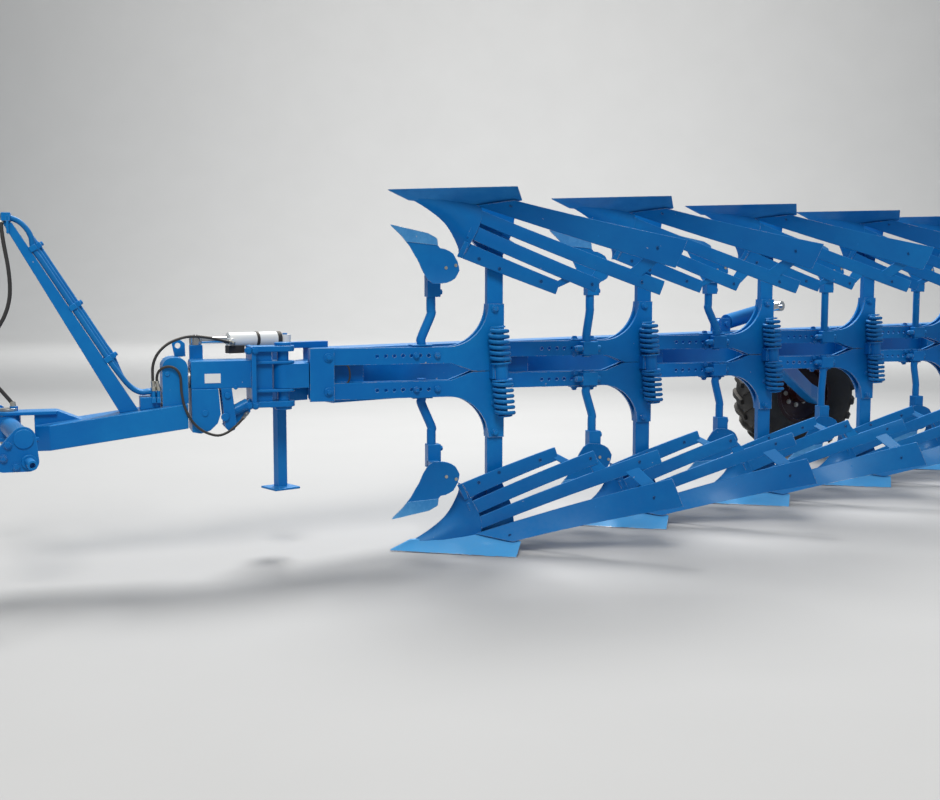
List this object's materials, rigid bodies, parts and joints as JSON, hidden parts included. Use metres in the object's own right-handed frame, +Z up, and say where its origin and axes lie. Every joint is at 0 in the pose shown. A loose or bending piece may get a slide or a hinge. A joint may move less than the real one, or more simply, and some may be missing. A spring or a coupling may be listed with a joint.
{
  "type": "semi-mounted reversible moldboard plough",
  "caption": "Semi-mounted reversible moldboard plough: slatted bodies above and below a long beam, spring consoles, skimmers, one wheel, drawbar with turnover unit and hose mast.",
  "frame": {"origin": "on the floor, under the middle of the plough's box", "axes": "+X along the main beam to the rear, +Y to the far (land) side where the wheel runs, +Z up"},
  "size_m": [7.6877, 2.1433, 1.652],
  "materials": {
    "blue_paint": "gloss paint, dusty",
    "body_paint": "gloss paint on wearing parts",
    "spring_paint": "painted spring steel",
    "painted_hose": "hoses painted with the frame",
    "bare_steel": "turned steel",
    "rod_chrome": "plated rod",
    "cream_paint": "pale primer paint",
    "rim_paint": "dark red paint",
    "tyre": "dusty rubber"
  },
  "bodies": {
    "beam": {"main_beam": "blue_paint", "beam_head": "blue_paint", "swing_base": "blue_paint", "stand_sleeve": "blue_paint", "wheel_bracket": "blue_paint", "wheel_base": "blue_paint", "console_1": "blue_paint", "console_2": "blue_paint", "console_3": "blue_paint", "console_4": "blue_paint", "console_5": "blue_paint", "console_6": "blue_paint", "bodies_1": "body_paint", "bodies_2": "body_paint", "bodies_3": "body_paint", "bodies_4": "body_paint", "bodies_5": "body_paint", "bodies_6": "body_paint", "springs_1": "spring_paint", "springs_2": "spring_paint", "springs_3": "spring_paint", "springs_4": "spring_paint", "springs_5": "spring_paint", "springs_6": "spring_paint", "skimmers_1": "body_paint", "skimmers_2": "body_paint", "skimmers_3": "body_paint", "skimmers_4": "body_paint", "skimmers_5": "body_paint", "skimmers_6": "body_paint"},
    "turnover_unit": {"turnover_box": "blue_paint", "pivot_pin": "blue_paint", "turnover_shaft": "bare_steel", "turnover_drive": "blue_paint"},
    "drawbar": {"drawbar": "blue_paint", "turnover_housing": "blue_paint", "steering_pin": "bare_steel", "mast": "blue_paint", "mast_hoses": "painted_hose", "hose_manifold": "blue_paint"},
    "headstock": {"headstock": "blue_paint"},
    "swing_barrel": {"swing_barrel": "cream_paint"},
    "swing_rod": {"swing_rod": "rod_chrome"},
    "stand": {"stand_leg": "blue_paint"},
    "wheel_arm": {"wheel_arm": "blue_paint"},
    "wheel": {"wheel_rim": "rim_paint", "wheel_tyre": "tyre"},
    "wheel_barrel": {"wheel_barrel": "blue_paint"},
    "wheel_rod": {"wheel_rod": "rod_chrome"}
  },
  "joints": [
    {"name": "swing", "type": "hinge", "parent": "beam", "child": "turnover_unit", "pos_m": [-2.57026, 0.0049, 0.826], "axis": [0, 0, 1], "range_deg": [-6, 6]},
    {"name": "turnover", "type": "hinge", "parent": "turnover_unit", "child": "drawbar", "pos_m": [-3.0014, 0.17909, 0.826], "axis": [0.9272, -0.3746, 0], "range_deg": [0, 180]},
    {"name": "steering", "type": "hinge", "parent": "drawbar", "child": "headstock", "pos_m": [-3.62261, 0.43008, 0.645], "axis": [0, 0, 1], "range_deg": [-54, 36]},
    {"name": "swing_barrel_turn", "type": "hinge", "parent": "beam", "child": "swing_barrel", "pos_m": [-2.462, 0.16608, 0.981], "axis": [0, 0, 1], "range_deg": [-4.7, 4.7]},
    {"name": "swing_rod_slide", "type": "slide", "parent": "swing_barrel", "child": "swing_rod", "axis": [-0.9953, 0.0971, 0], "range_m": [-0.01788, 0.01788]},
    {"name": "stand_slide", "type": "slide", "parent": "beam", "child": "stand", "axis": [0, 0, -1], "range_m": [0, 0.22]},
    {"name": "wheel_lift", "type": "hinge", "parent": "beam", "child": "wheel_arm", "pos_m": [1.158, 0.273, 0.766], "axis": [0, 1, 0], "range_deg": [-14, 20]},
    {"name": "wheel_spin", "type": "hinge", "parent": "wheel_arm", "child": "wheel", "pos_m": [2.138, 0.763, 0.43], "axis": [0.3746, 0.9272, 0], "continuous": true},
    {"name": "wheel_barrel_turn", "type": "hinge", "parent": "beam", "child": "wheel_barrel", "pos_m": [0.513, 0.113, 0.982], "axis": [0, 1, 0], "range_deg": [-0.65, 0.46]},
    {"name": "wheel_rod_slide", "type": "slide", "parent": "wheel_barrel", "child": "wheel_rod", "axis": [0.9851, 0, 0.1721], "range_m": [-0.07813, 0.11161]}
  ],
  "couplings": [
    {"joint": "swing_barrel_turn", "follows": "swing", "ratio": 0.78363},
    {"joint": "swing_rod_slide", "follows": "swing", "m_per_rad": 0.17078},
    {"joint": "wheel_barrel_turn", "follows": "wheel_lift", "ratio": -0.032729},
    {"joint": "wheel_rod_slide", "follows": "wheel_lift", "m_per_rad": 0.31973}
  ]
}
